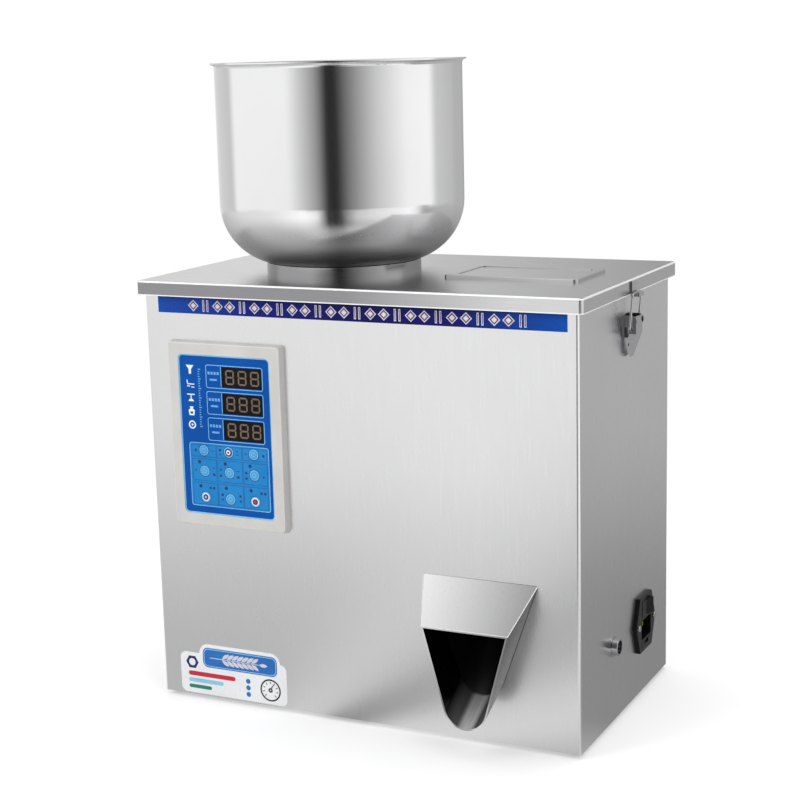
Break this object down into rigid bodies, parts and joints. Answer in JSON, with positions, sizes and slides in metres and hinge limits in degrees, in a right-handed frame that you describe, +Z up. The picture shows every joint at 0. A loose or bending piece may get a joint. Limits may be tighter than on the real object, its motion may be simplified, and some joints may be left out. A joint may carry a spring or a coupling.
{
  "type": "weighing packing machine",
  "caption": "Bench weigh-and-pack machine: steel cabinet with a round hopper bowl on the lid, vibrating feeder and weigh bucket inside, key panel and front discharge scoop.",
  "frame": {"origin": "on the table, on the plane of the four feet, under the middle of the cabinet's footprint", "axes": "+X to the machine's right (mains inlet side), -Y out of the front (panel and scoop), +Z up"},
  "size_m": [0.404, 0.2597, 0.535],
  "materials": {
    "sheet_steel": "satin stainless sheet",
    "lid_steel": "bright satin stainless sheet",
    "bowl_steel": "mirror polished stainless steel",
    "turned_steel": "turned stainless steel",
    "zinc_sheet": "zinc plated sheet",
    "foot_rubber": "black rubber",
    "bezel_plastic": "off-white moulded plastic",
    "overlay_film": "printed blue film",
    "key_plastic": "blue keys under clear film",
    "display_plastic": "dark display face",
    "board_green": "green circuit board",
    "brass_posts": "turned brass",
    "strip_film": "printed navy film",
    "sticker_film": "printed sticker",
    "inlet_plastic": "black moulded plastic",
    "bright_metal": "bright plated metal",
    "feeder_iron": "painted iron",
    "spring_steel": "spring steel strip",
    "alloy": "machined aluminium",
    "solenoid_case": "dark plated frame and coil"
  },
  "bodies": {
    "cabinet": {"cabinet_shell": "sheet_steel", "base_plate": "zinc_sheet", "base_screws": "zinc_sheet", "rubber_feet": "foot_rubber", "front_strip": "strip_film", "corner_sticker": "sticker_film", "panel_bezel": "bezel_plastic", "panel_overlay": "overlay_film", "display_modules": "display_plastic", "control_board": "board_green", "board_standoffs": "brass_posts", "power_inlet": "inlet_plastic", "inlet_pins": "brass_posts", "inlet_screws": "bright_metal", "pedal_socket": "bright_metal", "pedal_nut": "bright_metal", "discharge_scoop": "sheet_steel", "inner_chute": "sheet_steel", "power_supply": "alloy", "load_cell": "alloy", "load_cell_riser": "alloy", "feeder_block": "feeder_iron", "rubber_mounts": "foot_rubber", "electromagnet": "feeder_iron", "leaf_springs": "spring_steel", "equipment_bridge": "zinc_sheet", "bucket_arm": "zinc_sheet", "weigh_bucket": "sheet_steel", "flap_pin": "bright_metal", "flap_solenoid": "solenoid_case", "latch_base_right": "bright_metal", "latch_base_left": "bright_metal", "latch_pins": "bright_metal"},
    "lid": {"lid": "lid_steel", "hopper_collar": "turned_steel", "hopper_bowl": "bowl_steel", "outlet_tube": "turned_steel", "hopper_bolts": "turned_steel", "latch_keepers": "bright_metal"},
    "tray": {"feeder_trough": "sheet_steel", "trough_carrier": "alloy", "armature": "feeder_iron"},
    "bucket_flap": {"bucket_flap": "sheet_steel"},
    "solenoid_plunger": {"solenoid_plunger": "bright_metal"},
    "lever_right": {"latch_lever_right": "bright_metal"},
    "lever_left": {"latch_lever_left": "bright_metal"},
    "bail_right": {"latch_bail_right": "bright_metal"},
    "bail_left": {"latch_bail_left": "bright_metal"},
    "inspection_cover": {"inspection_cover": "lid_steel"},
    "rocker_switch": {"rocker_switch": "inlet_plastic"},
    "fuse_drawer": {"fuse_drawer": "inlet_plastic"},
    "key_1": {"key_1": "key_plastic"},
    "key_2": {"key_2": "key_plastic"},
    "key_3": {"key_3": "key_plastic"},
    "key_4": {"key_4": "key_plastic"},
    "key_5": {"key_5": "key_plastic"},
    "key_6": {"key_6": "key_plastic"},
    "key_7": {"key_7": "key_plastic"},
    "key_8": {"key_8": "key_plastic"},
    "key_9": {"key_9": "key_plastic"}
  },
  "joints": [
    {"name": "lid_lift", "type": "slide", "parent": "cabinet", "child": "lid", "axis": [0, 0, 1], "range_m": [0, 0.15]},
    {"name": "cover_lift", "type": "slide", "parent": "lid", "child": "inspection_cover", "axis": [0, 0, 1], "range_m": [0, 0.05]},
    {"name": "tray_shake", "type": "slide", "parent": "cabinet", "child": "tray", "axis": [0.9397, 0, 0.342], "range_m": [-0.0008, 0.0008], "stiffness_N_per_m": 20000, "deforming": ["leaf_springs"]},
    {"name": "flap_hinge", "type": "hinge", "parent": "cabinet", "child": "bucket_flap", "pos_m": [0.1073, 0.031, 0.222], "axis": [1, 0, 0], "range_deg": [0, 50], "stiffness_Nm_per_rad": 0.02, "springref_deg": -28.65},
    {"name": "plunger_slide", "type": "slide", "parent": "cabinet", "child": "solenoid_plunger", "axis": [0, 0, 1], "range_m": [0, 0.0125]},
    {"name": "rocker_tilt", "type": "hinge", "parent": "cabinet", "child": "rocker_switch", "pos_m": [0.191, 0.041, 0.0783], "axis": [0, 0, 1], "range_deg": [0, 18]},
    {"name": "fuse_drawer_slide", "type": "slide", "parent": "cabinet", "child": "fuse_drawer", "axis": [1, 0, 0], "range_m": [0, 0.014]},
    {"name": "latch_lever_right_swing", "type": "hinge", "parent": "cabinet", "child": "lever_right", "pos_m": [0.1965, 0, 0.328], "axis": [0, -1, 0], "range_deg": [0, 105]},
    {"name": "latch_bail_right_swing", "type": "hinge", "parent": "lever_right", "child": "bail_right", "pos_m": [0.1957, 0, 0.321], "axis": [0, -1, 0], "range_deg": [-90, 0]},
    {"name": "latch_lever_left_swing", "type": "hinge", "parent": "cabinet", "child": "lever_left", "pos_m": [-0.1965, 0, 0.328], "axis": [0, 1, 0], "range_deg": [0, 105]},
    {"name": "latch_bail_left_swing", "type": "hinge", "parent": "lever_left", "child": "bail_left", "pos_m": [-0.1957, 0, 0.321], "axis": [0, 1, 0], "range_deg": [-90, 0]},
    {"name": "key_1_press", "type": "slide", "parent": "cabinet", "child": "key_1", "axis": [0, 1, 0], "range_m": [0, 0.0004], "stiffness_N_per_m": 400, "springref_m": -0.002},
    {"name": "key_2_press", "type": "slide", "parent": "cabinet", "child": "key_2", "axis": [0, 1, 0], "range_m": [0, 0.0004], "stiffness_N_per_m": 400, "springref_m": -0.002},
    {"name": "key_3_press", "type": "slide", "parent": "cabinet", "child": "key_3", "axis": [0, 1, 0], "range_m": [0, 0.0004], "stiffness_N_per_m": 400, "springref_m": -0.002},
    {"name": "key_4_press", "type": "slide", "parent": "cabinet", "child": "key_4", "axis": [0, 1, 0], "range_m": [0, 0.0004], "stiffness_N_per_m": 400, "springref_m": -0.002},
    {"name": "key_5_press", "type": "slide", "parent": "cabinet", "child": "key_5", "axis": [0, 1, 0], "range_m": [0, 0.0004], "stiffness_N_per_m": 400, "springref_m": -0.002},
    {"name": "key_6_press", "type": "slide", "parent": "cabinet", "child": "key_6", "axis": [0, 1, 0], "range_m": [0, 0.0004], "stiffness_N_per_m": 400, "springref_m": -0.002},
    {"name": "key_7_press", "type": "slide", "parent": "cabinet", "child": "key_7", "axis": [0, 1, 0], "range_m": [0, 0.0004], "stiffness_N_per_m": 400, "springref_m": -0.002},
    {"name": "key_8_press", "type": "slide", "parent": "cabinet", "child": "key_8", "axis": [0, 1, 0], "range_m": [0, 0.0004], "stiffness_N_per_m": 400, "springref_m": -0.002},
    {"name": "key_9_press", "type": "slide", "parent": "cabinet", "child": "key_9", "axis": [0, 1, 0], "range_m": [0, 0.0004], "stiffness_N_per_m": 400, "springref_m": -0.002}
  ],
  "couplings": [
    {"joint": "plunger_slide", "follows": "flap_hinge", "m_per_rad": 0.0142},
    {"joint": "latch_bail_right_swing", "follows": "latch_lever_right_swing", "ratio": -0.85},
    {"joint": "latch_bail_left_swing", "follows": "latch_lever_left_swing", "ratio": -0.85}
  ]
}
